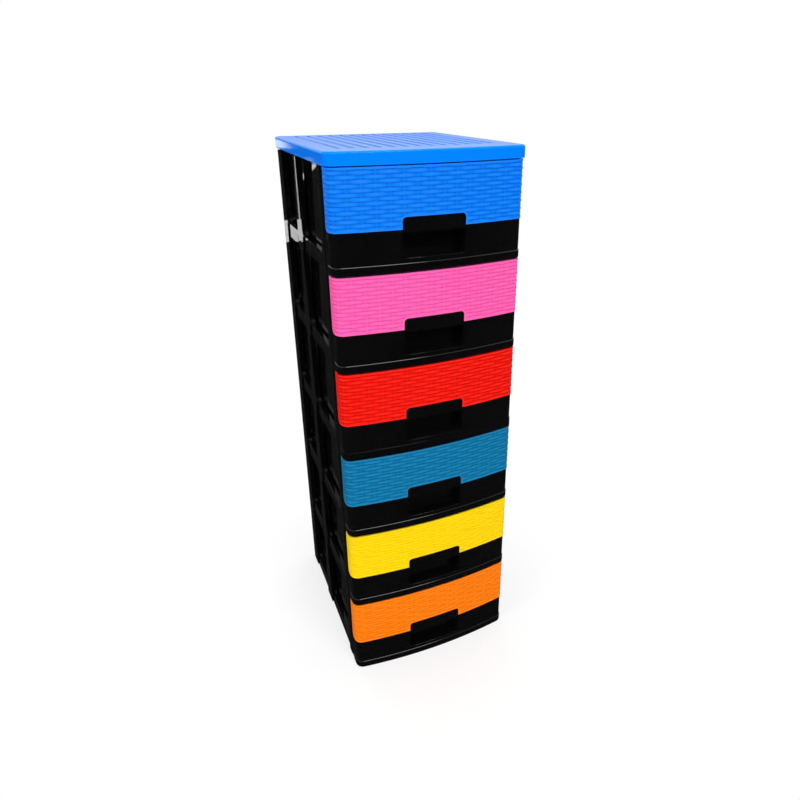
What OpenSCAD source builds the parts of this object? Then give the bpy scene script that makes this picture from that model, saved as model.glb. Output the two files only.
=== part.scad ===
// Bow-fronted plastic drawer tower: a stack of open shelf frames on posts, one drawer in each
// tier, and a ribbed panel on top.
// Millimetres, +Z up, front towards -Y. The origin is on the floor, in the middle of the base.

/* [Tower] */
// Width across the shelf frames
body_w = 380; // [340:5:420]
// Depth from the middle of the bowed front to the rear
body_d = 450; // [430:5:520]
// How far the middle of the front stands ahead of its corners
bow = 15; // [8:1:20]
// Radius of the front corners, seen from above
front_corner_r = 18; // [12:1:22]
// Radius of the rear corners, seen from above
rear_corner_r = 12; // [9:1:16]
// Number of drawers
drawer_count = 6; // [2:1:6]
// Height of one tier, a drawer and the shelf frame under it
tier_h = 188; // [176:1:220]

/* [Top panel] */
// Height of the top panel
top_h = 23.5; // [20:0.5:35]
// Overhang of the top panel past the shelf frames at each side
top_overhang = 3; // [0:0.5:6]
// Wall of the top panel
top_wall = 3; // [2:0.5:4]
// Rounding of the top panel's upper edge
top_edge_r = 5; // [3:0.5:6]

/* [Shelf frames] */
// Height of the front rail
rail_h = 17; // [13:1:22]
// Depth of the front rail in its middle
rail_d = 27; // [24:1:32]
// Height of the side and rear bars
bar_h = 30; // [26:1:38]
// Thickness of the side and rear bars
bar_t = 9; // [8:0.5:11]
// Width of the ledges that the drawers slide on
ledge_w = 16; // [10:1:24]
// Thickness of those ledges
ledge_t = 8; // [4:1:10]

/* [Posts] */
// Distance from the front corners back to the front posts
front_post_y = 31; // [24:1:40]
// Width of the front posts
front_post_w = 34; // [28:1:44]
// Distance from the front corners back to the middle posts' centre line
mid_post_y = 250; // [220:1:280]
// Width of the middle posts at the top
mid_post_top_w = 22; // [20:1:34]
// Width of the middle posts at the foot
mid_post_foot_w = 42; // [36:1:52]
// Width of the rear posts
rear_post_w = 50; // [28:1:60]
// Thickness of the tabs that lie over the side bars
tab_t = 3; // [2:0.5:4]
// Wall round the hollow back of a post
post_wall = 2.5; // [2:0.5:3.5]
// Radius of the fillets at the posts' feet
foot_fillet_r = 14; // [6:1:20]
// Depth of the step along the front posts' face
post_step = 1.2; // [0.5:0.1:1.8]
// Width of that step
post_step_w = 15; // [8:1:20]
// Length, along the tower's side, of the pegs that join posts and frames
peg_l = 14; // [8:1:16]
// Thickness of the pegs
peg_t = 5; // [3:0.5:5.5]
// Height of the pegs
peg_h = 8; // [5:0.5:9]

/* [Drawers] */
// Wall of the drawer boxes
box_wall = 2.2; // [1.8:0.2:3]
// Space between a box and the posts beside it
box_side_gap = 4; // [3:0.5:8]
// Space between the drawer boxes' rim and the shelf frame above
box_top_gap = 6; // [4:1:30]
// Width of the rim along the top of the boxes
rim_w = 2.4; // [1:0.2:2.6]
// Height of that rim
rim_h = 4; // [2:0.5:6]
// Radius of the boxes' rear corners
box_corner_r = 16; // [10:1:30]
// Height of the black band below the coloured front
band_h = 60; // [52:1:70]
// How far the band lies behind the front rail's face
band_inset = 1.4; // [1.2:0.2:4]
// How far a drawer can be pulled out
travel = 300; // [200:10:310]
// Height of the stop rib under the boxes
stop_h = 7; // [4:0.5:7]
// Length of the stop rib
stop_l = 60; // [30:5:100]

/* [Coloured fronts] */
// Thickness of the coloured fronts
panel_t = 2.6; // [2:0.2:3.2]
// How far the coloured fronts lie behind the front rail's face
panel_inset = 0; // [0:0.2:1]
// Gap between a coloured front and the rail above it
panel_gap = 2; // [1:0.2:4]
// Radius of their lower rear corners
panel_corner_r = 8; // [3:1:14]
// Reach of the flange that hooks over the box wall
panel_hook = 6; // [5:0.5:9]

/* [Handles] */
// Width of the handle
handle_w = 124; // [90:2:140]
// Height of the notch in the coloured front
notch_h = 22; // [16:1:34]
// Radius of the notch's upper corners
notch_r = 8; // [3:1:12]
// How far the handle lip hangs below the coloured front
lip_drop = 6; // [2:1:12]
// Thickness of the handle lip
lip_t = 3; // [2:0.5:4]
// Depth of the finger recess
recess_d = 38; // [30:1:44]
// Height of the band left under the finger recess
recess_foot = 8; // [5:1:12]

/* [Clearances] */
// Gap that a drawer slides on
slide_gap = 0.5; // [0.3:0.1:1]
// Gap between parts that seat in each other
seat_gap = 0.2; // [0.1:0.05:0.3]
// Gap behind a closed drawer front
shut_gap = 1; // [0.6:0.1:2]

/* [Hidden] */
half_w = body_w / 2;
front_y = -body_d / 2;
rear_y = body_d / 2;
corner_y = front_y + bow;
body_h = drawer_count * tier_h;

// The front is an arc of this radius, so a parallel face has the same centre
bow_r = (half_w * half_w + bow * bow) / (2 * bow);
bow_centre_y = front_y + bow_r;
bow_steps = 28;
corner_steps = 8;
fillet_steps = 6;

// Side bars, posts and pegs, measured from the middle of the tower
post_out = half_w;
bar_out = half_w - tab_t;
bar_in = bar_out - bar_t;
peg_x = (bar_out + bar_in) / 2;
ledge_in = bar_in - ledge_w;
side_y = corner_y + front_post_y;
frame_front_y = front_y + rail_d;
frame_rear_y = rear_y - bar_t;
front_post_centre = side_y + front_post_w / 2;
mid_post_centre = corner_y + mid_post_y;
rear_post_centre = rear_y - rear_post_w / 2;
post_centres = [front_post_centre, mid_post_centre, rear_post_centre];
foot_block_h = peg_h + post_wall;

// Drawers, measured from the bottom of their own tier
box_z = rail_h + slide_gap;
box_half_w = bar_in - box_side_gap;
box_rear_y = frame_rear_y - shut_gap * 2;
wide_rear_y = side_y - shut_gap * 2;
narrow_front_y = wide_rear_y - box_wall * 2;
box_top_z = tier_h - box_top_gap;
band_top_z = rail_h + band_h;
panel_z = band_top_z + seat_gap;
panel_top_z = tier_h - panel_gap;
panel_flange_t = panel_t / 2;
front_top_z = panel_top_z - panel_flange_t - seat_gap;
recess_wall_inset = panel_inset + panel_t + seat_gap;
cavity_inset = recess_wall_inset + box_wall;
lip_z = band_top_z - lip_drop;
lip_top_z = band_top_z + notch_h;
recess_z = box_z + recess_foot;
recess_rear_y = front_y + band_inset + recess_d;
stop_y = frame_front_y + travel + shut_gap;
deep = 3 * body_d;

PANEL_COLOURS = ["#0878ff", "#ff5cb4", "#f02014", "#147aa8", "#ffd800", "#ff7c10"];
BLACK = "#141414";
SIDES = ["left", "right"];
PLACES = ["front", "middle", "rear"];
TIERS = [1 : drawer_count];

function post_name(k, side, place) = str(place, "_post_", side, "_", k);

// Points of an arc, from one angle to another
function arc(centre, r, from, to, steps) =
    [for (i = [0 : steps]) centre + r * [cos(from + (to - from) * i / steps), sin(from + (to - from) * i / steps)]];

// Plan of the tower with its sides at half_width, drawn in by inset all round
function plan(half_width, inset) =
    let (
        corner_x = half_width - front_corner_r,
        reach = bow_r - front_corner_r,
        corner_yc = bow_centre_y - sqrt(reach * reach - corner_x * corner_x),
        turn = atan2(bow_centre_y - corner_yc, corner_x),
        rear_x = half_width - rear_corner_r,
        rear_yc = rear_y - rear_corner_r,
        front_r = front_corner_r - inset,
        rear_r = rear_corner_r - inset,
        front_arc = arc([0, bow_centre_y], bow_r - inset, turn - 180, -turn, bow_steps)
    )
    concat(
        [for (i = [1 : bow_steps - 1]) front_arc[i]],
        arc([corner_x, corner_yc], front_r, -turn, 0, corner_steps),
        arc([rear_x, rear_yc], rear_r, 0, 90, corner_steps),
        arc([-rear_x, rear_yc], rear_r, 90, 180, corner_steps),
        arc([-corner_x, corner_yc], front_r, 180, 180 + turn, corner_steps)
    );

// Slab with the tower's plan
module slab(z, h, inset = 0, half_width = half_w) {
    translate([0, 0, z]) linear_extrude(h) polygon(plan(half_width, inset));
}

// The part of its child that lies ahead of a line across the tower
module ahead_of(y) {
    intersection() {
        children();
        translate([-deep / 2, y - deep, -deep]) cube([deep, deep, 2 * deep]);
    }
}

module block(x0, x1, y0, y1, z0, z1) {
    translate([x0, y0, z0]) cube([x1 - x0, y1 - y0, z1 - z0]);
}

// The same block on both sides of the tower
module both_sides(x0, x1, y0, y1, z0, z1) {
    block(x0, x1, y0, y1, z0, z1);
    block(-x1, -x0, y0, y1, z0, z1);
}

module on_tier(k) {
    translate([0, 0, (drawer_count - k) * tier_h]) children();
}

// Pegs or sockets at the six posts, wider by gap all round
module pegs(z, h, gap = 0) {
    for (y = post_centres) {
        both_sides(
            peg_x - peg_t / 2 - gap, peg_x + peg_t / 2 + gap,
            y - peg_l / 2 - gap, y + peg_l / 2 + gap, z, z + h
        );
    }
}

// Slab with the tower's plan, rounded over along its upper edge
module rounded_slab(h, r, half_width) {
    levels = concat([[0, 0]], [for (i = [0 : fillet_steps])
        let (angle = 90 * i / fillet_steps) [r * (1 - cos(angle)), h - r + r * sin(angle)]]);
    rings = [for (level = levels) [for (p = plan(half_width, level[0])) [p[0], p[1], level[1]]]];
    n = len(rings[0]);
    last = len(rings) - 1;
    polyhedron(
        points = [for (ring = rings) each ring],
        faces = concat(
            [[for (i = [0 : n - 1]) i], [for (i = [n - 1 : -1 : 0]) last * n + i]],
            [for (j = [0 : last - 1], i = [0 : n - 1])
                let (a = j * n + i, b = j * n + (i + 1) % n) each [[a, a + n, b + n], [a, b + n, b]]]
        )
    );
}

// Top panel: a shallow tray turned over, with a rounded upper edge
module top_panel() {
    top_half_w = half_w + top_overhang;
    socket_reach = peg_t / 2 + post_wall;
    color(PANEL_COLOURS[0]) translate([0, 0, body_h]) difference() {
        union() {
            difference() {
                rounded_slab(top_h, top_edge_r, top_half_w);
                slab(-1, top_h - top_wall + 1, top_wall, top_half_w);
            }
            for (y = post_centres) {
                both_sides(
                    peg_x - socket_reach, top_half_w - top_wall / 2,
                    y - peg_l / 2 - post_wall, y + peg_l / 2 + post_wall, 0, top_h - top_wall
                );
            }
        }
        pegs(-1, peg_h + 1 + seat_gap, seat_gap);
    }
}

// Open frame under a drawer, with its bowed rail in front
module shelf_frame() {
    color(BLACK) difference() {
        union() {
            difference() {
                union() {
                    ahead_of(side_y) slab(0, rail_h);
                    intersection() {
                        slab(0, bar_h);
                        block(-bar_out, bar_out, side_y, rear_y, 0, bar_h);
                    }
                }
                block(-bar_in, bar_in, frame_front_y, frame_rear_y, -1, bar_h + 1);
            }
            both_sides(ledge_in, bar_in, frame_front_y, frame_rear_y, rail_h - ledge_t, rail_h);
            pegs(bar_h - 1, peg_h + 1);
        }
        pegs(-1, peg_h + 1 + seat_gap, seat_gap);
    }
}

// Side view of a post above its bar, as [along the side, height] points.
// A fillet of 0 leaves that side of the foot straight.
function post_profile(top_w, foot_w, front_fillet, rear_fillet) =
    let (foot_z = bar_h + seat_gap)
    concat(
        front_fillet > 0
            ? arc([-foot_w / 2 - front_fillet, foot_z + front_fillet], front_fillet, -90, 0, fillet_steps)
            : [[-foot_w / 2, foot_z]],
        [[-top_w / 2, tier_h], [top_w / 2, tier_h]],
        rear_fillet > 0
            ? arc([foot_w / 2 + rear_fillet, foot_z + rear_fillet], rear_fillet, 180, 270, fillet_steps)
            : [[foot_w / 2, foot_z]]
    );

// A slice of a post, lying between two distances from the middle of the tower
module post_slice(x0, x1) {
    translate([x0, 0, 0]) rotate([90, 0, 90]) linear_extrude(x1 - x0) children();
}

// Post for the right side, about its own centre line: an outer skin that runs down over the
// bar as a tab, a wall round its hollow back, a solid foot and a peg on top
module post(top_w, foot_w, front_fillet, rear_fillet, stepped) {
    tab_gap = shut_gap / 2;
    profile = post_profile(top_w, foot_w, front_fillet, rear_fillet);
    skin_in = bar_out + seat_gap;
    difference() {
        union() {
            post_slice(bar_in, post_out) difference() {
                polygon(profile);
                offset(delta = -post_wall) polygon(profile);
            }
            post_slice(skin_in - post_wall, post_out) polygon(profile);
            post_slice(bar_in, post_out) intersection() {
                polygon(profile);
                translate([-foot_w / 2, 0]) square([foot_w, bar_h + foot_block_h]);
            }
            post_slice(bar_in, post_out) intersection() {
                polygon(profile);
                translate([-top_w / 2, tier_h - foot_block_h]) square([top_w, foot_block_h]);
            }
            block(skin_in, post_out, -foot_w / 2, foot_w / 2, tab_gap, bar_h + foot_block_h);
            block(peg_x - peg_t / 2, peg_x + peg_t / 2, -peg_l / 2, peg_l / 2, tier_h - 1, tier_h + peg_h);
        }
        block(
            peg_x - peg_t / 2 - seat_gap, peg_x + peg_t / 2 + seat_gap,
            -peg_l / 2 - seat_gap, peg_l / 2 + seat_gap, bar_h - 1, bar_h + peg_h + seat_gap
        );
        if (stepped) {
            block(
                post_out - post_step, post_out + 1,
                -foot_w / 2 - 1, -foot_w / 2 + post_step_w, -1, tier_h + 1
            );
        }
    }
}

module post_at(place) {
    if (place == "front") {
        translate([0, front_post_centre, 0]) post(front_post_w, front_post_w, 0, foot_fillet_r, true);
    } else if (place == "middle") {
        translate([0, mid_post_centre, 0])
            post(mid_post_top_w, mid_post_foot_w, foot_fillet_r, foot_fillet_r, false);
    } else {
        intersection() {
            translate([0, rear_post_centre, 0]) post(rear_post_w, rear_post_w, foot_fillet_r, 0, false);
            slab(0, tier_h + peg_h + 1);
        }
    }
}

module post_on(side, place) {
    color(BLACK) mirror([side == "left" ? 1 : 0, 0, 0]) post_at(place);
}

// Plan of the drawer box behind its wide front
module box_plan(inset) {
    r = box_corner_r;
    x = box_half_w - r;
    polygon(concat(
        [[-box_half_w + inset, narrow_front_y], [box_half_w - inset, narrow_front_y]],
        arc([x, box_rear_y - r], r - inset, 0, 90, corner_steps),
        arc([-x, box_rear_y - r], r - inset, 90, 180, corner_steps)
    ));
}

// Handle shape in the front view, wider by gap
module handle_face(z0, z1, r, gap) {
    x = handle_w / 2 + gap;
    translate([0, deep / 2, 0]) rotate([90, 0, 0]) linear_extrude(deep) polygon(concat(
        [[-x, z0], [x, z0]],
        arc([x - r, z1 + gap - r], r, 0, 90, fillet_steps),
        arc([r - x, z1 + gap - r], r, 90, 180, fillet_steps)
    ));
}

// Drawer box: a tub with a wide bowed front, a handle lip and a finger recess behind it
module drawer_box() {
    recess_half_w = handle_w / 2;
    recess_out = recess_half_w + box_wall;
    color(BLACK) {
        difference() {
            union() {
                // Band at the bottom of the front, and the wall behind the coloured front
                ahead_of(wide_rear_y) slab(box_z, band_top_z - box_z, band_inset);
                ahead_of(wide_rear_y) slab(box_z, front_top_z - box_z, recess_wall_inset);
                translate([0, 0, box_z]) linear_extrude(box_top_z - box_z) box_plan(0);
                intersection() {
                    translate([0, 0, box_top_z - rim_h]) linear_extrude(rim_h) box_plan(-rim_w);
                    block(-deep, deep, side_y, box_rear_y + rim_w / 2, 0, tier_h);
                }
            }
            // Inside of the tub
            ahead_of(wide_rear_y - box_wall) slab(box_z + box_wall, tier_h, cavity_inset);
            translate([0, 0, box_z + box_wall]) linear_extrude(tier_h) box_plan(box_wall);
            // Mouth of the finger recess and room for the handle lip
            block(-recess_half_w, recess_half_w, front_y - 1, corner_y, recess_z, lip_z);
            ahead_of(corner_y) handle_face(lip_z - 1, lip_top_z, notch_r, 0);
        }
        // Walls of the finger recess, with the handle lip hanging in front of it
        difference() {
            union() {
                intersection() {
                    slab(box_z, lip_z - box_z, band_inset);
                    block(-recess_out, recess_out, front_y, recess_rear_y + box_wall, box_z, lip_z);
                }
                intersection() {
                    slab(box_z, lip_top_z - box_z, recess_wall_inset);
                    block(-recess_out, recess_out, front_y, recess_rear_y + box_wall, box_z, lip_top_z);
                }
                intersection() {
                    slab(lip_z, lip_top_z - lip_z, band_inset);
                    ahead_of(corner_y) handle_face(lip_z, lip_top_z, notch_r, 0);
                }
            }
            difference() {
                intersection() {
                    handle_face(recess_z, lip_top_z - box_wall, notch_r, 0);
                    block(-deep, deep, front_y - 1, recess_rear_y, 0, tier_h);
                }
                difference() {
                    ahead_of(corner_y) slab(lip_z, tier_h);
                    slab(0, 2 * tier_h, band_inset + lip_t);
                }
            }
        }
        block(-stop_l / 2, stop_l / 2, stop_y, stop_y + lip_t, box_z - stop_h, box_z + box_wall);
    }
}

// Coloured front: a thin facing that wraps both corners and hooks over the box wall
module drawer_front(k) {
    color(PANEL_COLOURS[k - 1]) difference() {
        ahead_of(wide_rear_y) {
            difference() {
                slab(panel_z, panel_top_z - panel_z, panel_inset);
                slab(panel_z - 1, tier_h, panel_inset + panel_t);
            }
            difference() {
                slab(panel_top_z - panel_flange_t, panel_flange_t, panel_inset);
                slab(panel_z, tier_h, panel_inset + panel_hook);
            }
        }
        handle_face(0, lip_top_z, notch_r, seat_gap);
        // Rounded lower rear corners
        translate([-deep / 2, wide_rear_y, panel_z]) rotate([90, 0, 90]) linear_extrude(deep) difference() {
            translate([-panel_corner_r, -1]) square([panel_corner_r + 1, panel_corner_r + 1]);
            translate([-panel_corner_r, panel_corner_r]) circle(panel_corner_r, $fn = 32);
        }
    }
}

top_panel();
for (k = TIERS) {
    on_tier(k) shelf_frame();
    on_tier(k) drawer_box();
    on_tier(k) drawer_front(k);
}
for (k = TIERS, side = SIDES, place = PLACES) {
    on_tier(k) post_on(side, place);
}
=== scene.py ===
"""Plastic drawer tower: bowed woven fronts, black tubs, frames and posts, grooved lid."""

import math
from collections import namedtuple

import bmesh
import bpy
from mathutils import Matrix, Vector


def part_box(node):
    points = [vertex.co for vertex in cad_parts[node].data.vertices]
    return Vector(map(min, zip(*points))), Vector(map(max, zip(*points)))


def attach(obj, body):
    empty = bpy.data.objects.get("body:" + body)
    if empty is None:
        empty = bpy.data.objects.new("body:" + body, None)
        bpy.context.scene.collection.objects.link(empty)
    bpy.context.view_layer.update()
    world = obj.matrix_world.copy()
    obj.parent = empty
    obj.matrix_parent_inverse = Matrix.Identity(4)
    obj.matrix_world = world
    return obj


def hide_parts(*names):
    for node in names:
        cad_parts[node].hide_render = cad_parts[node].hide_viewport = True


bl_info = {
    "name": "Plastic Drawer Tower",
    "version": (1, 0, 0),
    "blender": (4, 5, 0),
    "location": "3D View > Sidebar > Drawer Tower",
    "description": "Dresses the drawer tower: woven fronts, rounded mouldings, grooved lid, studio",
    "category": "Object",
}

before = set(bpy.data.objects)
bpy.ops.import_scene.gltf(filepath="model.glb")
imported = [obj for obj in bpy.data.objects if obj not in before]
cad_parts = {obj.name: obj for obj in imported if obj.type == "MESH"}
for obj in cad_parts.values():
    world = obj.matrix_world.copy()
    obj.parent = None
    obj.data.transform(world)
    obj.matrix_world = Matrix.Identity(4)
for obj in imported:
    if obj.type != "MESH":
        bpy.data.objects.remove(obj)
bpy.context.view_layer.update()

MM = 0.001
DRAWERS = range(1, 7)
SIDES = ("left", "right")
PLACES = ("front", "middle", "rear")
COLOURS = ("blue", "pink", "red", "teal", "yellow", "orange")
WHITE = (1.0, 1.0, 1.0, 1.0)

# Plan of the tower: the bowed front is one arc, with a round corner at each end of it
HALF_WIDTH = 190 * MM
BOW = 15 * MM
CORNER_RADIUS = 18 * MM
FRONT_Y = -225 * MM
SIDE_Y = -179 * MM
BOW_RADIUS = (HALF_WIDTH ** 2 + BOW ** 2) / (2 * BOW)
BOW_CENTRE = Vector((0, FRONT_Y + BOW_RADIUS))
CORNER_REACH = BOW_RADIUS - CORNER_RADIUS
CORNER_X = HALF_WIDTH - CORNER_RADIUS
CORNER_CENTRE = Vector((CORNER_X, BOW_CENTRE.y - math.sqrt(CORNER_REACH ** 2 - CORNER_X ** 2)))
BOW_ANGLE = math.asin(CORNER_X / CORNER_REACH)


def linear(red, green, blue):
    """A screen colour, 0 to 255, as the linear colour that a shader takes."""
    def one(value):
        value /= 255
        return value / 12.92 if value <= 0.04045 else ((value + 0.055) / 1.055) ** 2.4
    return one(red), one(green), one(blue)


# ---------------------------------------------------------------------------
# Settings
# ---------------------------------------------------------------------------

def colour_property(name, default):
    return bpy.props.FloatVectorProperty(
        name=name, description=f"Colour of the {name.lower()} plastic",
        subtype="COLOR", size=3, min=0, max=1, default=default)


def length_property(name, description, default):
    return bpy.props.FloatProperty(
        name=name, description=description, default=default,
        unit="LENGTH", subtype="DISTANCE", precision=4)


def share_property(name, description, default):
    return bpy.props.FloatProperty(
        name=name, description=description, default=default, min=0, max=1, subtype="FACTOR")


def brightness_property(name, description, default):
    return bpy.props.FloatProperty(
        name=name, description=description, default=default, min=0, soft_max=4, subtype="FACTOR")


def power_property(name, description, default):
    return bpy.props.FloatProperty(
        name=name, description=description, default=default, min=0, subtype="POWER")


class PlasticSettings(bpy.types.PropertyGroup):
    """Colours and finish of the plastics."""
    blue: colour_property("Blue", linear(2, 120, 240))
    pink: colour_property("Pink", linear(250, 92, 170))
    red: colour_property("Red", linear(236, 18, 3))
    teal: colour_property("Teal", linear(8, 116, 164))
    yellow: colour_property("Yellow", linear(242, 203, 0))
    orange: colour_property("Orange", linear(252, 124, 4))
    black: colour_property("Black", linear(9, 9, 10))
    satin: share_property("Satin", "Roughness of the woven fronts", 0.3)
    sheen: share_property("Sheen", "Roughness of the lid", 0.07)
    gloss: share_property("Gloss", "Roughness of the black plastic", 0.02)


class WeaveSettings(bpy.types.PropertyGroup):
    """Sizes of the drawer fronts and of their woven relief."""
    strand_pitch: length_property("Strand pitch", "Height of one woven strand", 7.4 * MM)
    warp_pitch: length_property("Warp pitch", "Distance from one upright to the next", 25.4 * MM)
    warp_start: length_property(
        "Warp start", "Where one upright stands, from the middle of the front", -7.6 * MM)
    warp_width: length_property("Warp width", "Width of an upright", 6.4 * MM)
    relief: length_property("Relief", "Height of the strands above the grooves", 1.6 * MM)
    bead: length_property("Bead", "Width of the plain bead along the edges", 3.0 * MM)
    thickness: length_property("Thickness", "Thickness of the fronts", 2.6 * MM)
    hook: length_property("Hook", "Reach of the flange over the tub's wall", 6.0 * MM)
    hook_thickness: length_property("Hook thickness", "Thickness of that flange", 1.3 * MM)
    notch_width: length_property("Notch width", "Width of the notch for the handle", 124.4 * MM)
    notch_height: length_property("Notch height", "Height of that notch", 22.0 * MM)
    notch_radius: length_property("Notch radius", "Radius of its upper corners", 8.0 * MM)
    end_radius: length_property("End radius", "Radius of the lower rear corners", 8.0 * MM)


class LidSettings(bpy.types.PropertyGroup):
    """Sizes of the grooves in the lid."""
    groove_count: bpy.props.IntProperty(
        name="Grooves", description="Number of grooves in the lid", default=13, min=1, max=20)
    groove_pitch: length_property("Groove pitch", "Distance from one groove to the next", 25.0 * MM)
    groove_width: length_property("Groove width", "Width of a groove", 12.0 * MM)
    groove_depth: length_property("Groove depth", "Depth of a groove", 2.2 * MM)
    front_border: length_property("Front border", "Plain border ahead of the grooves", 62.0 * MM)
    rear_border: length_property("Rear border", "Plain border behind the grooves", 22.0 * MM)


class EdgeSettings(bpy.types.PropertyGroup):
    """Radii of the rounded edges."""
    rail: length_property("Rail", "Radius along the front rails", 2.5 * MM)
    fine: length_property("Fine", "Radius of all the other edges", 0.7 * MM)


class StudioSettings(bpy.types.PropertyGroup):
    """Floor, lamps and camera."""
    floor_shade: share_property("Floor shade", "Brightness of the floor", 0.93)
    ambient: brightness_property("Ambient", "Soft light from all round", 0.4)
    key: power_property("Key", "Power of the main lamp", 168)
    fill: power_property("Fill", "Power of the left lamp", 80)
    top: power_property("Top", "Power of the lamp overhead", 60)
    glint: power_property("Glint", "Power of the high lamp that only shows as glints", 110)
    card: brightness_property("Cards", "Brightness of the strips that the left side mirrors", 1.75)
    lens: bpy.props.FloatProperty(
        name="Lens", description="Focal length of the camera", default=28.26, unit="CAMERA")


class TowerSettings(bpy.types.PropertyGroup):
    """All the settings of the drawer tower."""
    plastic: bpy.props.PointerProperty(type=PlasticSettings)
    weave: bpy.props.PointerProperty(type=WeaveSettings)
    lid: bpy.props.PointerProperty(type=LidSettings)
    edges: bpy.props.PointerProperty(type=EdgeSettings)
    studio: bpy.props.PointerProperty(type=StudioSettings)


# ---------------------------------------------------------------------------
# Materials
# ---------------------------------------------------------------------------

# Through the tones below, this attribute paints shade in grooves and highlights on crowns
RELIEF = "relief"  # Vertex attribute: 0 at the bottom of a groove, 1 on a crown

# Each kind of plastic: the setting for its roughness, how far that drifts, the scale and depth of
# its grain, and its reflection
Finish = namedtuple("Finish", "roughness drift grain_scale grain_depth reflection")
FINISHES = {
    "woven": Finish("satin", 0.04, 900.0, 0.06 * MM, 0.06),
    "ribbed": Finish("sheen", 0.02, 700.0, 0.02 * MM, 0.05),
    "gloss": Finish("gloss", 0.005, 600.0, 0.004 * MM, 0.5),
}
GRAIN_STRENGTH = 0.25
GRAIN_DETAIL = 2.0
CLOUD_SCALE = 9.0
CLOUD_DETAIL = 3.0
CLOUD_RANGE = (0.3, 0.7)

# Tones of a colour: (place on the relief or in the clouds, share of the colour). On the relief a
# share below 1 is painted shade and a share above 1 is a painted highlight; in the clouds the tone
# differs at random
# Lid: painted shade in its grooves, and its top painted paler than its skirt, as if lit from above
LID_PAINTED_SHADING = ((0.0, 0.3), (1.0, 1.05), (0.6, 0.65), (0.9, 1.0))
CLOUD_TONES = ((0.3, 0.75), (0.7, 1.0))
# Painted light on the weave: a highlight of a little white on its crowns, and shade in its grooves
CROWN_HIGHLIGHT = 1.012
GROOVE_SHADE = 0.36  # In the grooves of the weave, for a colour near black
GROOVE_SHADE_RISE = 0.85   # How much that share rises with the colour's luminance
GROOVE_SHADE_LIMIT = 0.95
LUMINANCE = (0.2126, 0.7152, 0.0722)


def tone(colour, share):
    """The colour darkened by a share below 1, or mixed with white by what is above 1."""
    white = max(0.0, share - 1)
    return tuple(channel * min(share, 1) * (1 - white) + white for channel in colour) + (1.0,)


def woven_painted_shading(colour):
    """Painted shade, deepest in the grooves of the weave and least so for a pale colour, and a
    painted highlight on the crowns.
    """
    luminance = sum(weight * channel for weight, channel in zip(LUMINANCE, colour))
    groove = min(GROOVE_SHADE_LIMIT, GROOVE_SHADE + GROOVE_SHADE_RISE * luminance)
    return (0.0, groove), (1.0, CROWN_HIGHLIGHT), (0.35, (1 + groove) / 2), (0.75, 1.0)


class Nodes:
    """Builds the nodes of a material or a world, in place of those that it has."""

    def __init__(self, holder):
        holder.use_nodes = True
        self.tree = holder.node_tree
        self.tree.nodes.clear()

    def add(self, kind, *inputs, **settings):
        """Adds a node. Each input is a socket with its value, or with the output that feeds it."""
        node = self.tree.nodes.new(kind)
        for name, value in settings.items():
            setattr(node, name, value)
        for socket, value in inputs:
            if isinstance(value, bpy.types.NodeSocket):
                self.tree.links.new(value, node.inputs[socket])
            else:
                node.inputs[socket].default_value = value
        return node

    def combined(self, operation, first, second):
        node = self.add("ShaderNodeMath", (0, first), (1, second), operation=operation)
        return node.outputs["Value"]

    def ranged(self, value, old, new, interpolation="LINEAR"):
        """The value moved from its old range to a new one."""
        node = self.add(
            "ShaderNodeMapRange", ("Value", value), ("From Min", old[0]), ("From Max", old[1]),
            ("To Min", new[0]), ("To Max", new[1]), interpolation_type=interpolation)
        return node.outputs["Result"]

    def noise(self, place, scale, detail):
        node = self.add(
            "ShaderNodeTexNoise", ("Vector", place), ("Scale", scale), ("Detail", detail))
        return node.outputs["Fac"]

    def tones(self, value, colour, stops):
        """A ramp between tones of one colour; the first two stops take the ramp's own elements."""
        ramp = self.add("ShaderNodeValToRGB", ("Fac", value))
        elements = ramp.color_ramp.elements
        for index, (place, share) in enumerate(stops):
            element = elements[index] if index < 2 else elements.new(place)
            element.position, element.color = place, tone(colour, share)
        return ramp.outputs["Color"]


def plastic(settings, kind, colour_name):
    """The plastic of that kind and colour, made once, with its tones, grain and roughness; on the
    relief the tones are painted shade and painted highlights.
    """
    name = f"{colour_name}_{kind}_plastic"
    found = bpy.data.materials.get(name)
    if found:
        return found
    material = bpy.data.materials.new(name)
    colour = tuple(getattr(settings.plastic, colour_name))
    finish = FINISHES[kind]
    roughness = getattr(settings.plastic, finish.roughness)
    nodes = Nodes(material)
    place = nodes.add("ShaderNodeTexCoord").outputs["Object"]
    clouds = nodes.noise(place, CLOUD_SCALE, CLOUD_DETAIL)
    bump = nodes.add(
        "ShaderNodeBump", ("Height", nodes.noise(place, finish.grain_scale, GRAIN_DETAIL)),
        ("Strength", GRAIN_STRENGTH), ("Distance", finish.grain_depth))
    if kind == "gloss":
        base = nodes.tones(clouds, colour, CLOUD_TONES)
    else:
        # The relief level picks painted shade in the grooves and painted highlights on the crowns
        relief = nodes.add("ShaderNodeAttribute", attribute_name=RELIEF).outputs["Fac"]
        base = nodes.tones(relief, colour, LID_PAINTED_SHADING if kind == "ribbed" else woven_painted_shading(colour))
    low, high = roughness - finish.drift, roughness + finish.drift
    shader = nodes.add(
        "ShaderNodeBsdfPrincipled", ("Base Color", base),
        ("Roughness", nodes.ranged(clouds, CLOUD_RANGE, (low, high))),
        ("Specular IOR Level", finish.reflection), ("Normal", bump.outputs["Normal"]))
    nodes.add("ShaderNodeOutputMaterial", ("Surface", shader.outputs["BSDF"]))
    return material


# ---------------------------------------------------------------------------
# Shared modelling steps
# ---------------------------------------------------------------------------

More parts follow.
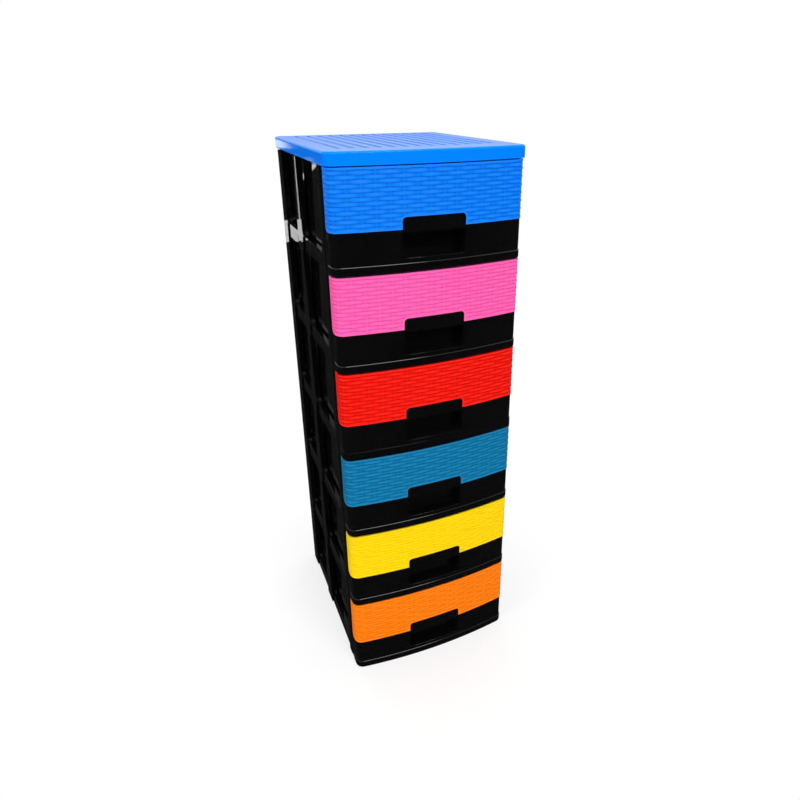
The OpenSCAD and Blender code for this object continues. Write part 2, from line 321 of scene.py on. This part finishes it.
MERGE_DISTANCE = 0.001 * MM
SAME_PLACE = 0.05 * MM
FLAT_TURN = math.radians(0.1)  # Faces that turn less are joined
SHARP_TURN = math.radians(28)  # Edges that turn more are rounded outside and sharp inside
FINE_SEGMENTS, RAIL_SEGMENTS = 2, 3
FLAT_WEIGHT = 100  # Large faces keep their own direction beside the rounded edges


def add_piece(name, bm, material, node, body):
    """Makes a finished mesh a piece that stands for a CAD node and rides on its body."""
    mesh = bpy.data.meshes.new(name)
    bm.to_mesh(mesh)
    bm.free()
    mesh.polygons.foreach_set("use_smooth", [True] * len(mesh.polygons))
    mesh.materials.append(material)
    piece = bpy.data.objects.new(name, mesh)
    bpy.context.scene.collection.objects.link(piece)
    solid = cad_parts[node]
    solid.data.materials.clear()
    solid.data.materials.append(material)
    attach(piece, body)
    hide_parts(node)
    return piece


def merged_copy(node):
    """A CAD node's mesh with its doubles merged and its flat faces joined."""
    bm = bmesh.new()
    bm.from_mesh(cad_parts[node].data)
    bmesh.ops.remove_doubles(bm, verts=bm.verts, dist=MERGE_DISTANCE)
    bmesh.ops.dissolve_limit(
        bm, angle_limit=FLAT_TURN, use_dissolve_boundaries=False, verts=bm.verts, edges=bm.edges)
    for face in bm.faces:
        face.material_index = 0
    return bm


def slice_faces(bm, faces, point, normal, merge, trim=False):
    """Cuts those faces along a plane, and drops what lies beyond it when they are trimmed."""
    geometry = dict.fromkeys(faces)
    for face in faces:
        geometry.update(dict.fromkeys(face.edges))
        geometry.update(dict.fromkeys(face.verts))
    bmesh.ops.bisect_plane(
        bm, geom=list(geometry), dist=merge, plane_co=point, plane_no=normal, clear_outer=trim)


def mark_edges(bm, widest, radius_of=None):
    """Weights outer edges by their share of the widest radius, and marks inner ones as sharp."""
    weight = bm.edges.layers.float.new("bevel_weight_edge")
    for edge in bm.edges:
        if len(edge.link_faces) != 2:
            continue
        turn = edge.calc_face_angle_signed()
        if turn > SHARP_TURN:
            edge[weight] = radius_of(edge) / widest if radius_of else 1.0
        elif turn < -SHARP_TURN:
            edge.smooth = False


def round_edges(piece, widest, segments):
    """Rounds the marked edges and keeps the flat faces flat."""
    bevel = piece.modifiers.new("Rounded edges", "BEVEL")
    bevel.limit_method = "WEIGHT"
    bevel.width = widest
    bevel.segments = segments
    shading = piece.modifiers.new("Flat faces", "WEIGHTED_NORMAL")
    shading.weight = FLAT_WEIGHT
    shading.keep_sharp = True


def add_black_piece(settings, name, node, body, widest, segments, radius_of=None):
    """A CAD node's shape in glossy black plastic with rounded edges."""
    bm = merged_copy(node)
    mark_edges(bm, widest, radius_of)
    piece = add_piece(name, bm, plastic(settings, "gloss", "black"), node, body)
    round_edges(piece, widest, segments)


def near(value, target):
    return abs(value - target) < SAME_PLACE


# ---------------------------------------------------------------------------
# Shelf frames, posts and tubs
# ---------------------------------------------------------------------------

RAIL_DEPTH = 8 * MM  # How far in from the bowed front the edges belong to the rail
RAIL_MARGIN = 1 * MM


class DRAWERTOWER_OT_shelf_frames(bpy.types.Operator):
    """Shelf frames with a rounded rail across the front"""
    bl_idname = "drawertower.shelf_frames"
    bl_label = "Shelf Frames"

    def execute(self, context):
        settings = context.scene.drawer_tower
        rail, fine = settings.edges.rail, settings.edges.fine

        def radius_of(edge):
            """The rail's radius along the outer edges of the front rail, the fine one elsewhere."""
            first, second = (vert.co for vert in edge.verts)
            centre = (first + second) / 2
            level = near(first.z, second.z)
            outside = (
                (centre.xy - BOW_CENTRE).length > BOW_RADIUS - RAIL_DEPTH
                or abs(centre.x) > HALF_WIDTH - RAIL_MARGIN)
            return rail if level and outside and centre.y < SIDE_Y - RAIL_MARGIN else fine

        for k in DRAWERS:
            add_black_piece(
                settings, f"rail_frame_{k}", f"shelf_frame_{k}", "tower",
                rail, RAIL_SEGMENTS, radius_of)
        return {"FINISHED"}


class DRAWERTOWER_OT_posts(bpy.types.Operator):
    """Tapered posts with tabs over the side bars"""
    bl_idname = "drawertower.posts"
    bl_label = "Posts"

    def execute(self, context):
        settings = context.scene.drawer_tower
        for k in DRAWERS:
            for side in SIDES:
                for place in PLACES:
                    add_black_piece(
                        settings, f"{place}_upright_{side}_{k}", f"{place}_post_{side}_{k}",
                        "tower", settings.edges.fine, FINE_SEGMENTS)
        return {"FINISHED"}


class DRAWERTOWER_OT_tubs(bpy.types.Operator):
    """Drawer tubs with a black band, a handle lip and a finger recess"""
    bl_idname = "drawertower.tubs"
    bl_label = "Drawer Tubs"

    def execute(self, context):
        settings = context.scene.drawer_tower
        for k in DRAWERS:
            add_black_piece(
                settings, f"drawer_tub_{k}", f"drawer_box_{k}", f"drawer_{k}",
                settings.edges.fine, FINE_SEGMENTS)
        return {"FINISHED"}


# ---------------------------------------------------------------------------
# Woven fronts
# ---------------------------------------------------------------------------

# Section of the weave: levels are shares of the relief, and heights are shares of half a row
DIP_HEIGHT, DIP_LEVEL = 0.58, 0.3       # A strand where it dips behind an upright
SWELL, RISE, BELLY = 0.6, 0.7, 0.6      # How it swells and rises from there, and its round back
UPRIGHT_LEVEL, UPRIGHT_SAG = 0.75, 0.6  # The crown of an upright, and its sag to the row's edges
BEAD_LEVEL = 0.92
BACK_LEVEL = 0.5                        # Tone of the faces that have no relief
BEAD_BLEND = (0.6 * MM, 0.2 * MM)       # How far past its width and within it the bead blends in

# Mesh of the fronts
STEPS_ALONG, STEPS_UP = 16, 8           # Faces from upright to upright, and up one strand
ARC_TURNS = [math.radians(15 * step) for step in range(1, 6)]
EDGE_ROUND, EDGE_DROP = 1.0 * MM, 0.6 * MM  # Width and depth of the rounding along the outline
ROUNDING_LINE = 0.35                    # Place of a line within that width
CUT_MERGE = 0.0001 * MM
OUTLINE_MERGE = 0.004 * MM
FRONT_SHARP_TURN = math.radians(72)


def smooth_step(low, high, value):
    share = min(1.0, max(0.0, (value - low) / (high - low)))
    return share * share * (3 - 2 * share)


def weave_level(weave, along, up):
    """Level of the weave, 0 in the grooves to 1 on the crowns, at a point of the flat front."""
    row = math.floor(up / weave.strand_pitch)
    across = 2 * (up / weave.strand_pitch - row) - 1
    period = 2 * weave.warp_pitch
    turn = (along - weave.warp_start - (row % 2) * weave.warp_pitch) / period
    crown = abs(turn - round(turn)) * period
    arch = math.cos(0.5 * math.pi * min(1.0, crown / weave.warp_pitch))
    half_height = DIP_HEIGHT + (1 - DIP_HEIGHT) * arch ** SWELL
    rise = DIP_LEVEL + (1 - DIP_LEVEL) * arch ** RISE
    strand = rise * max(0.0, 1 - (across / half_height) ** 2) ** BELLY
    beside = abs(crown - weave.warp_pitch) / (weave.warp_width / 2)
    upright = 0.0
    if beside < 1:
        upright = UPRIGHT_LEVEL * (1 - beside ** 2) * (1 - UPRIGHT_SAG * across ** 2)
    return max(strand, upright)


def vertices_of(geometry):
    return [item for item in geometry if isinstance(item, bmesh.types.BMVert)]


class DRAWERTOWER_OT_woven_fronts(bpy.types.Operator):
    """Coloured fronts with a woven relief, wrapped round both front corners"""
    bl_idname = "drawertower.woven_fronts"
    bl_label = "Woven Fronts"

    def execute(self, context):
        settings = context.scene.drawer_tower
        low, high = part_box("drawer_front_6")
        bm = self.unrolled(settings.weave, high.z - low.z, self.half_length(high))
        self.wrap(bm, low.z)
        front = bpy.data.meshes.new("woven_front")
        bm.to_mesh(front)
        bm.free()
        for k in DRAWERS:
            colour = COLOURS[k - 1]
            node = f"drawer_front_{k}"
            bm = bmesh.new()
            bm.from_mesh(front)
            bmesh.ops.translate(bm, verts=bm.verts, vec=(0, 0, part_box(node)[0].z - low.z))
            piece = add_piece(
                f"woven_front_{k}", bm, plastic(settings, "woven", colour),
                node, f"drawer_{k}")
            piece.data.set_sharp_from_angle(angle=FRONT_SHARP_TURN)
        bpy.data.meshes.remove(front)
        return {"FINISHED"}

    def half_length(self, high):
        """Length from the middle of the front to its rear edge, along its outer face."""
        corner = CORNER_RADIUS * (math.pi / 2 - BOW_ANGLE)
        return BOW_RADIUS * BOW_ANGLE + corner + high.y - CORNER_CENTRE.y

    def unrolled(self, weave, height, half_length):
        """The front laid flat: x along it, z up from its lower edge, -y outwards."""
        bm = self.grid(weave, height, half_length)
        self.cut_outline(bm, weave, height, half_length)
        distance_of = self.edge_distance(weave, height, half_length)
        outside = [f for f in bm.faces if distance_of(f.calc_center_median()) < 0]
        bmesh.ops.delete(bm, geom=outside, context="FACES")
        bmesh.ops.remove_doubles(bm, verts=bm.verts, dist=OUTLINE_MERGE)
        # Relief level per vertex, which the material turns into painted shade and painted
        # highlights
        relief = bm.verts.layers.float.new(RELIEF)
        outer = self.thicken(bm, weave, height)
        for vert in bm.verts:
            vert[relief] = BACK_LEVEL
        for vert in outer:
            distance = distance_of(vert.co)
            plain = smooth_step(weave.bead + BEAD_BLEND[0], weave.bead - BEAD_BLEND[1], distance)
            level = plain * BEAD_LEVEL + (1 - plain) * weave_level(weave, vert.co.x, vert.co.z)
            vert[relief] = level
            depth = weave.relief * (1 - level)
            if distance < EDGE_ROUND:
                share = 1 - max(0.0, distance) / EDGE_ROUND
                depth += EDGE_DROP * (1 - math.sqrt(1 - share * share))
            vert.co.y = depth
        return bm

    def grid(self, weave, height, half_length):
        """A grid in step with the weave, trimmed to the front's length and height."""
        step_x, step_z = weave.warp_pitch / STEPS_ALONG, weave.strand_pitch / STEPS_UP
        columns = 2 * math.ceil(half_length / step_x + 1)
        rows = math.ceil(height / step_z / STEPS_UP + 1) * STEPS_UP
        bm = bmesh.new()
        bmesh.ops.create_grid(
            bm, x_segments=columns, y_segments=rows, size=0.5,
            matrix=Matrix.Translation((weave.warp_start % step_x, 0, rows * step_z / 2))
            @ Matrix.Rotation(math.pi / 2, 4, "X")
            @ Matrix.Diagonal((columns * step_x, rows * step_z, 1, 1)))
        for side in (-1, 1):
            self.cut(bm, (side * half_length, 0, 0), (side, 0, 0), trim=True)
        self.cut(bm, (0, 0, height), (0, 0, 1), trim=True)
        return bm

    def arc_centres(self, weave, half_length):
        """Centres of the notch's upper corner and of the lower rear corner, where x is positive."""
        half_notch = weave.notch_width / 2
        notch = (half_notch - weave.notch_radius, 0, weave.notch_height - weave.notch_radius)
        end = (half_length - weave.end_radius, 0, weave.end_radius)
        return Vector(notch), Vector(end)

    def cut(self, bm, point, normal, trim=False, within=None):
        """Cuts along a plane, all over or only the faces with their middle within some area."""
        faces = [f for f in bm.faces if within is None or within(f.calc_center_median())]
        slice_faces(bm, faces, point, normal, CUT_MERGE, trim)

    def cut_arc(self, bm, side, centre, radius, up, within, trim=False):
        """Cuts along a quarter of a circle that faces outwards, and up or down."""
        for turn in ARC_TURNS:
            normal = Vector((side * math.cos(turn), 0, up * math.sin(turn)))
            middle = Vector((side * centre.x, 0, centre.z))
            self.cut(bm, middle + normal * radius, normal, trim, within)

    def cut_outline(self, bm, weave, height, half_length):
        """Cuts the lines of the outline, rounding and bead, and trims the lower rear corners."""
        notch, end = self.arc_centres(weave, half_length)
        half_notch = weave.notch_width / 2
        rings = (0.0, ROUNDING_LINE * EDGE_ROUND, EDGE_ROUND, weave.bead)
        reach = weave.bead + EDGE_ROUND
        for ring in rings[1:]:
            self.cut(bm, (0, 0, ring), (0, 0, 1))
            self.cut(bm, (0, 0, height - ring), (0, 0, 1))
            for side in (-1, 1):
                self.cut(bm, (side * (half_length - ring), 0, 0), (side, 0, 0))
        for ring in rings:
            self.cut(
                bm, (0, 0, weave.notch_height + ring), (0, 0, 1),
                within=lambda c: abs(c.x) < half_notch + reach)
            for side in (-1, 1):
                self.cut(
                    bm, (side * (half_notch + ring), 0, 0), (side, 0, 0),
                    within=lambda c: c.z < weave.notch_height + reach)
                self.cut_arc(
                    bm, side, notch, weave.notch_radius + ring, 1,
                    within=lambda c: notch.x < side * c.x < half_notch + reach
                    and notch.z < c.z < weave.notch_height + reach)
        for side in (-1, 1):
            self.cut_arc(
                bm, side, end, weave.end_radius, -1,
                within=lambda c: side * c.x > end.x and c.z < end.z, trim=True)

    def edge_distance(self, weave, height, half_length):
        """A function for the distance of a point to the outline, less than 0 outside it."""
        notch, end = self.arc_centres(weave, half_length)

        def distance_of(point):
            side = abs(point.x)
            a, b = side - notch.x, point.z - notch.z
            inner = (math.hypot(a, b) if a > 0 and b > 0 else max(a, b)) - weave.notch_radius
            outer = min(point.z, height - point.z, half_length - side)
            if side > end.x and point.z < end.z:
                outer = weave.end_radius - math.hypot(side - end.x, point.z - end.z)
            return min(inner, outer)

        return distance_of

    def thicken(self, bm, weave, height):
        """Gives the front its wall and the flange along its top, and returns the outer vertices."""
        hook_z = height - weave.hook_thickness
        self.cut(bm, (0, 0, hook_z), (0, 0, 1))
        outer = list(bm.verts)
        made = bmesh.ops.extrude_face_region(bm, geom=list(bm.faces), use_keep_orig=True)["geom"]
        bmesh.ops.translate(bm, verts=vertices_of(made), vec=(0, weave.thickness, 0))

        # The back needs none of the level lines but the flange's
        inner = [item for item in made if isinstance(item, bmesh.types.BMFace)]
        inner_set = set(inner)
        level = [
            edge for edge in dict.fromkeys(e for f in inner for e in f.edges)
            if all(face in inner_set for face in edge.link_faces)
            and abs(edge.verts[0].co.z - edge.verts[1].co.z) < CUT_MERGE
            and not near(edge.verts[0].co.z, hook_z)]
        bmesh.ops.dissolve_edges(bm, edges=level, use_verts=True)

        hook_faces = [
            f for f in bm.faces
            if f.calc_center_median().z > hook_z
            and all(v.co.y > weave.thickness / 2 for v in f.verts)]
        made = bmesh.ops.extrude_face_region(bm, geom=hook_faces)["geom"]
        bmesh.ops.translate(bm, verts=vertices_of(made), vec=(0, weave.hook - weave.thickness, 0))
        return outer

    def wrap(self, bm, bottom):
        """Bends the flat front round the bow and the corners."""
        bow_end = BOW_RADIUS * BOW_ANGLE
        corner_end = bow_end + CORNER_RADIUS * (math.pi / 2 - BOW_ANGLE)
        for vert in bm.verts:
            side = -1 if vert.co.x < 0 else 1
            along, depth = abs(vert.co.x), vert.co.y
            if along <= bow_end:
                angle = along / BOW_RADIUS
                reach = BOW_RADIUS - depth
                x, y = reach * math.sin(angle), BOW_CENTRE.y - reach * math.cos(angle)
            elif along <= corner_end:
                angle = BOW_ANGLE + (along - bow_end) / CORNER_RADIUS
                reach = CORNER_RADIUS - depth
                x = CORNER_CENTRE.x + reach * math.sin(angle)
                y = CORNER_CENTRE.y - reach * math.cos(angle)
            else:
                x, y = HALF_WIDTH - depth, CORNER_CENTRE.y + along - corner_end
            vert.co = (side * x, y, bottom + vert.co.z)
        bmesh.ops.recalc_face_normals(bm, faces=bm.faces)


# ---------------------------------------------------------------------------
# Lid
# ---------------------------------------------------------------------------

TOP_MARK = 1             # Material index that marks the top face while it is cut
TOP_RIM = 0.6 * MM       # Plain ring round the top, inside its rounded edge
# The skirt keeps the plain colour, and the top is painted paler than it
SKIRT_LEVEL = 0.9        # Tone of the lid's other faces
GROOVE_FLOOR = 0.3       # Share of a groove's width that is flat
END_STEP = 1.5 * MM      # Distance of the lines across the grooves near their ends
MIDDLE_STEPS = 8         # Steps of the lines between those

# Lines along each groove, in half widths from its middle
GROOVE_LINES = (-1, -0.86, -0.72, -0.58, -0.42, -0.2, 0.2, 0.42, 0.58, 0.72, 0.86, 1)


class DRAWERTOWER_OT_lid(bpy.types.Operator):
    """Blue lid with rounded edges and a row of grooves from front to back"""
    bl_idname = "drawertower.lid"
    bl_label = "Lid"

    def execute(self, context):
        settings = context.scene.drawer_tower
        lid, fine = settings.lid, settings.edges.fine
        bm = merged_copy("top_panel")
        mark_edges(bm, fine)
        top = max(bm.faces, key=lambda face: face.calc_center_median().z + face.calc_area())
        bmesh.ops.inset_region(bm, faces=[top], thickness=TOP_RIM, use_even_offset=True)
        top.material_index = TOP_MARK
        middles = [
            (i - (lid.groove_count - 1) / 2) * lid.groove_pitch for i in range(lid.groove_count)]
        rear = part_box("top_panel")[1].y - lid.rear_border
        self.cut_top(bm, lid, middles, rear)
        self.sink_grooves(bm, lid, middles, rear)
        for face in bm.faces:
            face.material_index = 0
        material = plastic(settings, "ribbed", "blue")
        piece = add_piece("grooved_lid", bm, material, "top_panel", "tower")
        round_edges(piece, fine, FINE_SEGMENTS)
        return {"FINISHED"}

    def front_of(self, lid, x):
        """Where the grooves start at that x, behind the bowed border."""
        return BOW_CENTRE.y - math.sqrt(BOW_RADIUS ** 2 - x * x) + lid.front_border

    def cut_top(self, bm, lid, middles, rear):
        """Cuts the top face along the grooves, and across them with close lines at their ends."""
        def cut(point, normal):
            faces = [f for f in bm.faces if f.material_index == TOP_MARK]
            slice_faces(bm, faces, point, normal, MERGE_DISTANCE)

        for x in middles:
            for line in GROOVE_LINES:
                cut((x + line * lid.groove_width / 2, 0, 0), (1, 0, 0))
        first, last = self.front_of(lid, 0), self.front_of(lid, middles[-1]) + lid.groove_width
        rear_first = rear - lid.groove_width
        lines = int((last - first) / END_STEP) + 1
        levels = [first + i * (last - first) / lines for i in range(lines + 1)]
        levels += [rear_first + i * END_STEP for i in range(int(lid.groove_width / END_STEP) + 1)]
        levels += [last + i * (rear_first - last) / MIDDLE_STEPS for i in range(1, MIDDLE_STEPS)]
        for y in levels:
            cut((0, y, 0), (0, 1, 0))

    def sink_grooves(self, bm, lid, middles, rear):
        """Lowers the top face along the grooves, and sets the painted shade in them and the paler
        painted light on the top.
        """
        half = lid.groove_width / 2

        def depth_at(x, y):
            nearest = min(middles, key=lambda middle: abs(middle - x))
            beyond = max(self.front_of(lid, nearest) + half - y, y - (rear - half), 0.0)
            share = math.hypot(x - nearest, beyond) / half
            return lid.groove_depth * (1 - smooth_step(GROOVE_FLOOR, 1.0, share))

        # Relief tone: painted shade in the grooves, painted light on the top, plain colour on the
        # skirt
        relief = bm.verts.layers.float.new(RELIEF)
        for vert in bm.verts:
            vert[relief] = SKIRT_LEVEL
        for vert in {v for f in bm.faces if f.material_index == TOP_MARK for v in f.verts}:
            depth = depth_at(vert.co.x, vert.co.y)
            vert.co.z -= depth
            vert[relief] = 1 - depth / lid.groove_depth


# ---------------------------------------------------------------------------
# Studio
# ---------------------------------------------------------------------------

FLOOR_HALF = 30
SHADOW_RANGE = (0.25, 0.6)  # Distance from the middle over which the floor turns white
SHADOW_GLOW = (0.7, 1.0)    # Share of plain white in the floor, from there to there

# Sky that glossy plastic mirrors: dark below the horizon, dim straight ahead, bright elsewhere
HORIZON_RANGE, SKY_BRIGHTNESS = (0.0, 0.12), (0.02, 0.8)
AHEAD_RANGE, AHEAD_SHARE = (-0.85, -0.65), (0.15, 1.0)

# Square lamps that light the tower: place, width and the setting for their power
LAMPS = {
    "key_lamp": ((0.9, -4.3, 4.1), 2.4, "key"),
    "left_lamp": ((-4.2, -1.6, 2.6), 2.0, "fill"),
    "top_lamp": ((0.0, 0.3, 3.3), 1.2, "top"),
}
GLINT_PLACE, GLINT_WIDTH = (0.4, -2.0, 4.6), 2.0
LAMP_TARGET = (0.0, 0.0, 0.6)

# Strips of light that the left side mirrors: their x and z ranges, and share of their setting
CARD_Y = 3.0
CARDS = {
    "bar_card": ((-0.9, -0.35), (0.31, 0.455), 0.75),
    "skirt_card": ((-0.752, -0.35), (0.905, 1.0), 1.5),
    "post_card": ((-0.797, -0.789), (0.3, 0.86), 1.0),
    "wall_card": ((-0.9, -0.873), (0.437, 0.84), 1.0),
}

# Camera, from the fit to the tower's edges
CAMERA_PLACE = (-0.45152, -1.26024, 1.24051)
CAMERA_YAW, CAMERA_PITCH, CAMERA_ROLL = (math.radians(angle) for angle in (23.124, 23.113, -0.092))
CAMERA_SHIFT = (-0.0388, -0.05)
SENSOR_WIDTH = 36


class DRAWERTOWER_OT_studio(bpy.types.Operator):
    """Pale floor, soft lamps, white background and camera"""
    bl_idname = "drawertower.studio"
    bl_label = "Studio"

    def execute(self, context):
        studio = context.scene.drawer_tower.studio
        self.floor(studio)
        self.background(context.scene, studio)
        for name, (place, width, setting) in LAMPS.items():
            lamp = self.lamp(name, place, LAMP_TARGET, (width, width), getattr(studio, setting))
            lamp.visible_glossy = False
        glint = self.lamp(
            "glint_lamp", GLINT_PLACE, LAMP_TARGET, (GLINT_WIDTH, GLINT_WIDTH), studio.glint)
        glint.visible_diffuse = False
        for name, (across, up, share) in CARDS.items():
            self.card(name, across, up, share * studio.card)
        self.camera(context.scene, studio)
        context.scene.view_settings.view_transform = "Standard"
        return {"FINISHED"}

    def floor(self, studio):
        """A pale floor that keeps the tower's shadow close to it and turns white further out."""
        bm = bmesh.new()
        bmesh.ops.create_grid(bm, x_segments=1, y_segments=1, size=FLOOR_HALF)
        mesh = bpy.data.meshes.new("floor")
        bm.to_mesh(mesh)
        bm.free()
        piece = bpy.data.objects.new("floor", mesh)
        bpy.context.scene.collection.objects.link(piece)
        piece.visible_glossy = False

        material = bpy.data.materials.new("pale_floor")
        nodes = Nodes(material)
        place = nodes.add("ShaderNodeTexCoord").outputs["Object"]
        reach = nodes.add("ShaderNodeVectorMath", (0, place), operation="LENGTH").outputs["Value"]
        fade = nodes.ranged(reach, SHADOW_RANGE, SHADOW_GLOW, "SMOOTHSTEP")
        seen = nodes.add("ShaderNodeLightPath").outputs["Is Camera Ray"]
        shade = (studio.floor_shade,) * 3 + (1,)
        diffuse = nodes.add("ShaderNodeBsdfDiffuse", ("Color", shade)).outputs["BSDF"]
        glow = nodes.add("ShaderNodeEmission").outputs["Emission"]
        whiteness = nodes.combined("MULTIPLY", fade, seen)
        mix = nodes.add("ShaderNodeMixShader", ("Fac", whiteness), (1, diffuse), (2, glow))
        nodes.add("ShaderNodeOutputMaterial", ("Surface", mix.outputs["Shader"]))
        mesh.materials.append(material)

    def background(self, scene, studio):
        """Plain white to the camera, a sky to mirror, and soft ambient light."""
        world = bpy.data.worlds.new("studio")
        scene.world = world
        nodes = Nodes(world)
        place = nodes.add("ShaderNodeTexCoord").outputs["Generated"]
        way = nodes.add("ShaderNodeSeparateXYZ", ("Vector", place)).outputs
        path = nodes.add("ShaderNodeLightPath").outputs
        sky = nodes.combined(
            "MULTIPLY", nodes.ranged(way["Z"], HORIZON_RANGE, SKY_BRIGHTNESS, "SMOOTHSTEP"),
            nodes.ranged(way["Y"], AHEAD_RANGE, AHEAD_SHARE, "SMOOTHSTEP"))
        brightness = nodes.combined("MAXIMUM", sky, path["Is Camera Ray"])
        mirrored = nodes.combined("MAXIMUM", path["Is Glossy Ray"], path["Is Transmission Ray"])
        shown = nodes.combined("MAXIMUM", mirrored, path["Is Camera Ray"])
        soft = nodes.add("ShaderNodeBackground", ("Color", WHITE), ("Strength", studio.ambient))
        plain = nodes.add("ShaderNodeBackground", ("Color", WHITE), ("Strength", brightness))
        mix = nodes.add(
            "ShaderNodeMixShader", ("Fac", shown),
            (1, soft.outputs["Background"]), (2, plain.outputs["Background"]))
        nodes.add("ShaderNodeOutputWorld", ("Surface", mix.outputs["Shader"]))

    def lamp(self, name, place, target, size, power):
        """A lamp that faces the target and isn't seen itself."""
        data = bpy.data.lights.new(name, "AREA")
        data.shape = "RECTANGLE"
        data.size, data.size_y = size
        data.energy = power
        lamp = bpy.data.objects.new(name, data)
        bpy.context.scene.collection.objects.link(lamp)
        lamp.location = place
        lamp.rotation_euler = (Vector(target) - Vector(place)).to_track_quat("-Z", "Y").to_euler()
        lamp.visible_camera = False
        return lamp

    def card(self, name, across, up, brightness):
        """A strip of light behind the tower, on its left, that faces forwards."""
        (left, right), (low, high) = across, up
        middle, level = (left + right) / 2, (low + high) / 2
        width, height = right - left, high - low
        power = brightness * math.pi * width * height
        self.lamp(name, (middle, CARD_Y, level), (middle, 0, level), (width, height), power)

    def camera(self, scene, studio):
        """The camera, aimed by its yaw, pitch and roll."""
        level = math.cos(CAMERA_PITCH)
        ahead = Vector((
            math.sin(CAMERA_YAW) * level, math.cos(CAMERA_YAW) * level, -math.sin(CAMERA_PITCH)))
        right = Vector((math.cos(CAMERA_YAW), -math.sin(CAMERA_YAW), 0))
        up = right.cross(ahead)
        rolled_right = right * math.cos(CAMERA_ROLL) + up * math.sin(CAMERA_ROLL)
        rolled_up = up * math.cos(CAMERA_ROLL) - right * math.sin(CAMERA_ROLL)
        data = bpy.data.cameras.new("camera")
        data.lens = studio.lens
        data.sensor_width = SENSOR_WIDTH
        data.shift_x, data.shift_y = CAMERA_SHIFT
        camera = bpy.data.objects.new("camera", data)
        scene.collection.objects.link(camera)
        turn = Matrix((rolled_right, rolled_up, -ahead)).transposed().to_4x4()
        camera.matrix_world = Matrix.Translation(CAMERA_PLACE) @ turn
        scene.camera = camera


# ---------------------------------------------------------------------------
# Panel and start
# ---------------------------------------------------------------------------

OPERATORS = (
    DRAWERTOWER_OT_shelf_frames,
    DRAWERTOWER_OT_posts,
    DRAWERTOWER_OT_tubs,
    DRAWERTOWER_OT_woven_fronts,
    DRAWERTOWER_OT_lid,
    DRAWERTOWER_OT_studio,
)


class DRAWERTOWER_PT_panel(bpy.types.Panel):
    """Buttons and settings for the drawer tower"""
    bl_idname = "DRAWERTOWER_PT_panel"
    bl_label = "Drawer Tower"
    bl_space_type = "VIEW_3D"
    bl_region_type = "UI"
    bl_category = "Drawer Tower"

    def draw(self, context):
        settings = context.scene.drawer_tower
        for operator in OPERATORS:
            self.layout.operator(operator.bl_idname)
        groups = (settings.plastic, settings.weave, settings.lid, settings.edges, settings.studio)
        for group in groups:
            box = self.layout.box()
            for name in group.__annotations__:
                box.prop(group, name)


CLASSES = (
    PlasticSettings, WeaveSettings, LidSettings, EdgeSettings, StudioSettings, TowerSettings,
    *OPERATORS, DRAWERTOWER_PT_panel,
)


def register():
    for cls in CLASSES:
        bpy.utils.register_class(cls)
    bpy.types.Scene.drawer_tower = bpy.props.PointerProperty(type=TowerSettings)


def unregister():
    del bpy.types.Scene.drawer_tower
    for cls in reversed(CLASSES):
        bpy.utils.unregister_class(cls)


def main():
    register()
    bpy.ops.drawertower.shelf_frames()
    bpy.ops.drawertower.posts()
    bpy.ops.drawertower.tubs()
    bpy.ops.drawertower.woven_fronts()
    bpy.ops.drawertower.lid()
    bpy.ops.drawertower.studio()


if __name__ == "__main__":
    main()
